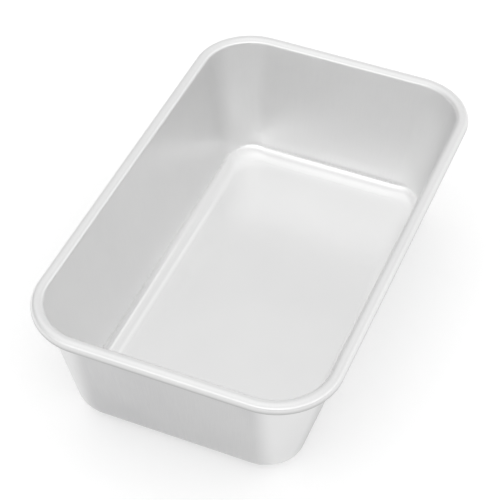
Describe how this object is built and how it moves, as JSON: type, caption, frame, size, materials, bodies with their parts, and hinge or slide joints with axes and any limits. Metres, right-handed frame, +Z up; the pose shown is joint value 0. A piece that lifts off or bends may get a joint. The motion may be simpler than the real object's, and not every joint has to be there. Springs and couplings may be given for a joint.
{
  "type": "loaf pan",
  "caption": "Rectangular loaf pan in satin sheet metal with leaning walls, rounded corners, a flat floor and a rolled rim, for baking a loaf.",
  "frame": {"origin": "middle of the flat base the pan rests on", "axes": "+Z up out of the pan's mouth, the long sides along Y, the short sides along X"},
  "size_m": [0.154, 0.2536, 0.0711],
  "materials": {
    "sheet": "satin, natural",
    "wire": "galvanised"
  },
  "bodies": {
    "root": {"pan_shell": "sheet", "rim_wire": "wire"}
  },
  "joints": []
}
